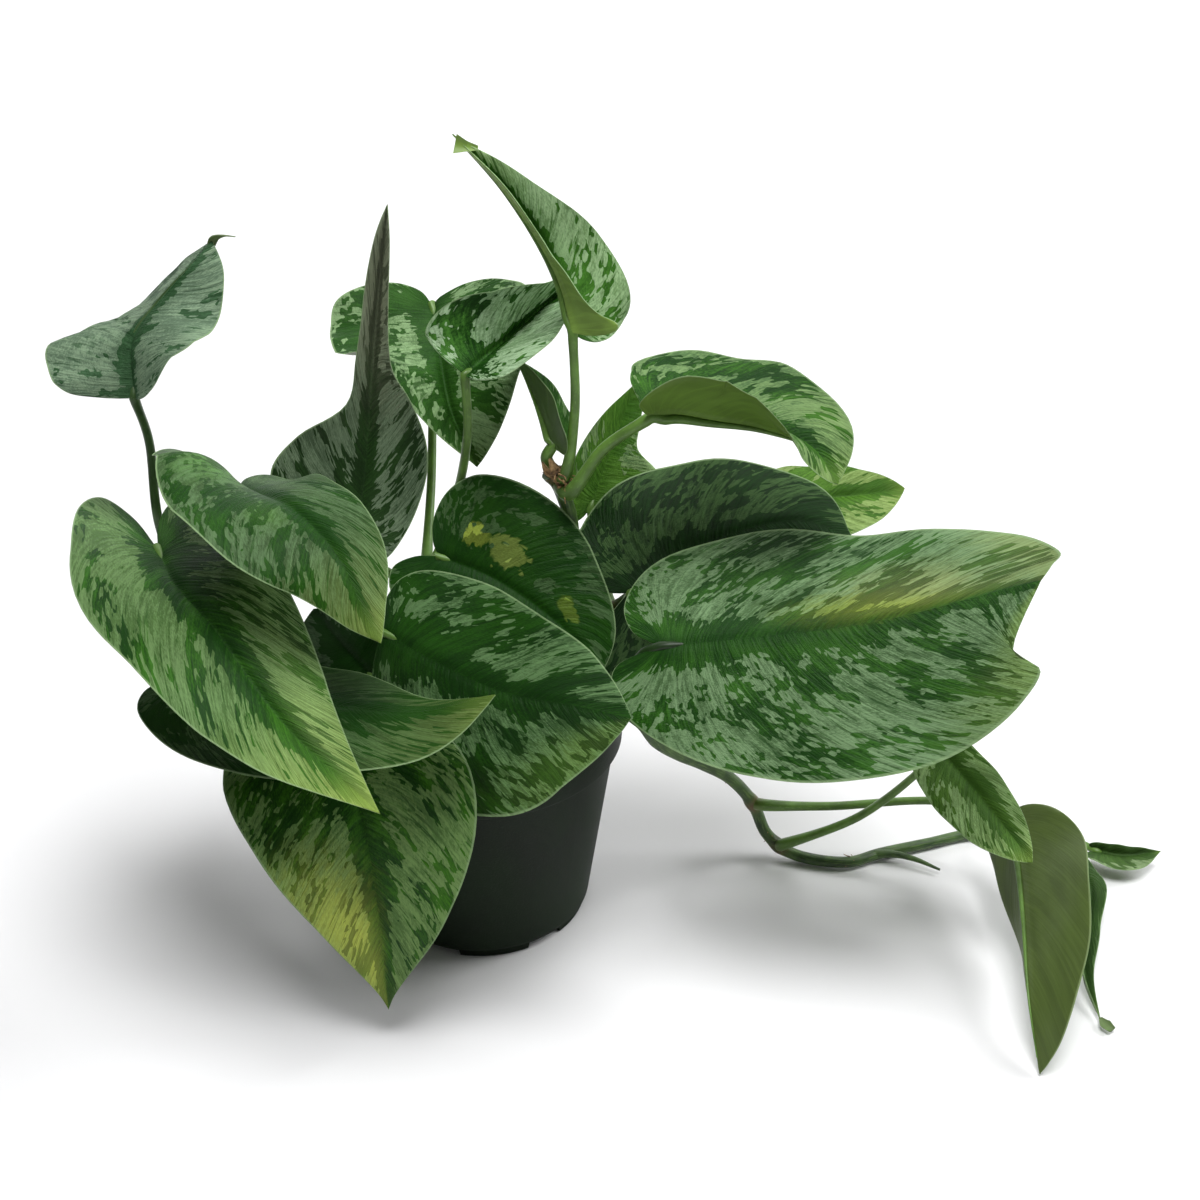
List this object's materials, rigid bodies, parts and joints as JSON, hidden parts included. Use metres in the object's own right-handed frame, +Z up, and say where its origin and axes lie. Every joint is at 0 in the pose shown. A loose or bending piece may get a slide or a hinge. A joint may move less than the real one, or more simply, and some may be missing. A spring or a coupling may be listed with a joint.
{
  "type": "satin pothos",
  "caption": "Potted satin pothos with silver-blotched heart-shaped leaves on trailing and upright vines, in a tapered nursery pot.",
  "frame": {"origin": "middle of the pot's flat underside, on the surface it stands on", "axes": "+Z up, -Y towards the plant's open front, +X towards the trailing vine"},
  "size_m": [0.4208, 0.1919, 0.2993],
  "materials": {
    "pot_plastic": "matt moulded, faintly sheened",
    "potting_soil": "loose and damp",
    "stem_tissue": "smooth waxy",
    "leaf_silver": "satin with silver blotches",
    "leaf_mid": "satin with silver blotches",
    "leaf_deep": "satin with silver blotches",
    "leaf_bright": "satin with silver blotches",
    "leaf_underside": "plain satin"
  },
  "bodies": {
    "root": {"pot": "pot_plastic", "soil": "potting_soil", "stem_upright": "stem_tissue", "stem_trailing": "stem_tissue", "stem_left": "stem_tissue", "stem_centre": "stem_tissue", "stem_front": "stem_tissue", "stem_back": "stem_tissue", "leaf_far_left": "leaf_silver", "leaf_left_folded": "leaf_silver", "leaf_left_large": "leaf_mid", "leaf_left_under": "leaf_mid", "leaf_front_hanging": "leaf_mid", "leaf_between": "leaf_deep", "leaf_front_right": "leaf_mid", "leaf_right_torn": "leaf_silver", "leaf_right_back": "leaf_deep", "leaf_spotted": "leaf_deep", "leaf_upright": "leaf_silver", "leaf_back_hanging": "leaf_mid", "leaf_middle": "leaf_silver", "leaf_top": "leaf_silver", "leaf_arching": "leaf_bright", "leaf_behind_arch": "leaf_bright", "leaf_right_tip": "leaf_bright", "leaf_trailing_small": "leaf_bright", "leaf_trailing_large": "leaf_underside", "leaf_trailing_rolled": "leaf_underside", "leaf_trailing_end": "leaf_underside", "leaf_young_folded": "leaf_bright"}
  },
  "joints": []
}
